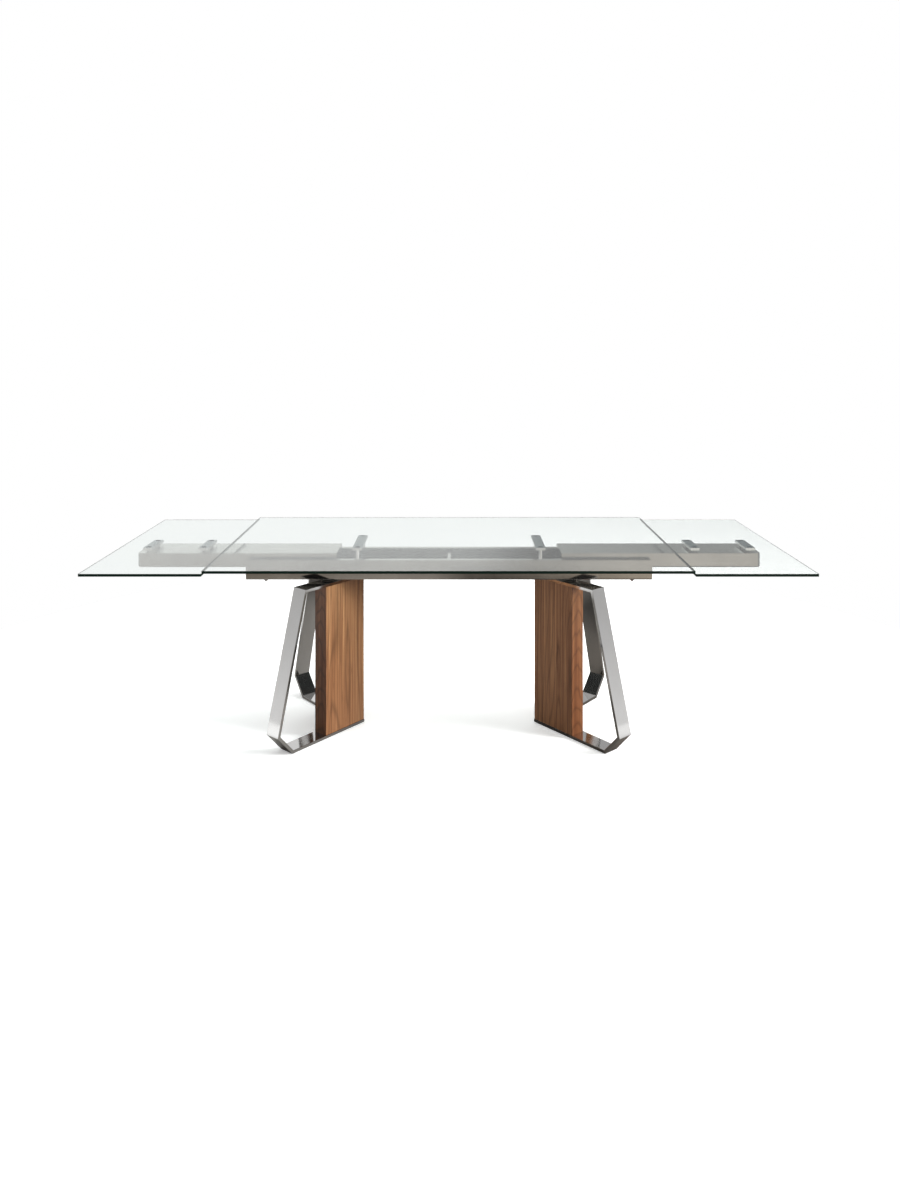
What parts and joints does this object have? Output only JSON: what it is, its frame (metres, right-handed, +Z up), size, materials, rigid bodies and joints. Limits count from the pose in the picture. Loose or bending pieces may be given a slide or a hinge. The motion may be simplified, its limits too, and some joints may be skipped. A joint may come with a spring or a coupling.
{
  "type": "extendable glass dining table",
  "caption": "Clear glass dining table with end leaves that slide out on steel arms, on V-shaped bases of polished steel strap and walnut panels.",
  "frame": {"origin": "on the floor under the middle of the table", "axes": "+X along the table, -Y the front, +Z up"},
  "size_m": [2.7, 1, 0.76],
  "materials": {
    "clear_glass": "polished, green at the edges",
    "bonding_disc": "ground, glued to the glass",
    "bonded_bar": "polished, with a dulled top",
    "polished_steel": "mirror polished",
    "satin_steel": "satin brushed",
    "bright_steel": "bright",
    "walnut_veneer": "open-pored walnut veneer, matt lacquer",
    "black_rubber": "matt",
    "black_nylon": "matt",
    "grey_felt": "pressed felt",
    "cast_alloy": "bead blasted",
    "zinc_steel": "zinc plated"
  },
  "bodies": {
    "table_frame": {"centre_glass": "clear_glass", "centre_glass_discs": "bonding_disc", "centre_carrier_left": "bonded_bar", "centre_carrier_right": "bonded_bar", "centre_carrier_screws": "bright_steel", "centre_posts": "polished_steel", "tray_beam": "satin_steel", "beam_cap_screws": "bright_steel", "centre_stop": "satin_steel", "stop_buffers": "black_rubber", "left_slide_rails": "zinc_steel", "left_rail_end_stops": "zinc_steel", "left_mouth_guides": "black_nylon", "left_front_loop": "polished_steel", "left_rear_loop": "polished_steel", "left_front_panel": "walnut_veneer", "left_rear_panel": "walnut_veneer", "left_tie_bolts": "zinc_steel", "left_tie_nuts": "zinc_steel", "left_mount_plate": "zinc_steel", "left_floor_glides": "grey_felt", "right_slide_rails": "zinc_steel", "right_rail_end_stops": "zinc_steel", "right_mouth_guides": "black_nylon", "right_front_loop": "polished_steel", "right_rear_loop": "polished_steel", "right_front_panel": "walnut_veneer", "right_rear_panel": "walnut_veneer", "right_tie_bolts": "zinc_steel", "right_tie_nuts": "zinc_steel", "right_mount_plate": "zinc_steel", "right_floor_glides": "grey_felt"},
    "left_extension": {"left_arm_case": "satin_steel", "left_inner_cover": "satin_steel", "left_outer_cover": "satin_steel", "left_carriages": "cast_alloy", "left_lift_cartridges": "zinc_steel", "left_leaf_posts": "polished_steel", "left_inner_carrier": "bonded_bar", "left_outer_carrier": "bonded_bar", "left_carrier_screws": "bright_steel", "left_glass_discs": "bonding_disc", "left_leaf_glass": "clear_glass"},
    "right_extension": {"right_arm_case": "satin_steel", "right_inner_cover": "satin_steel", "right_outer_cover": "satin_steel", "right_carriages": "cast_alloy", "right_lift_cartridges": "zinc_steel", "right_leaf_posts": "polished_steel", "right_inner_carrier": "bonded_bar", "right_outer_carrier": "bonded_bar", "right_carrier_screws": "bright_steel", "right_glass_discs": "bonding_disc", "right_leaf_glass": "clear_glass"}
  },
  "joints": [
    {"name": "left_extension_slide", "type": "slide", "parent": "table_frame", "child": "left_extension", "axis": [1, 0, 0], "range_m": [0, 0.45]},
    {"name": "right_extension_slide", "type": "slide", "parent": "table_frame", "child": "right_extension", "axis": [-1, 0, 0], "range_m": [0, 0.45]}
  ]
}
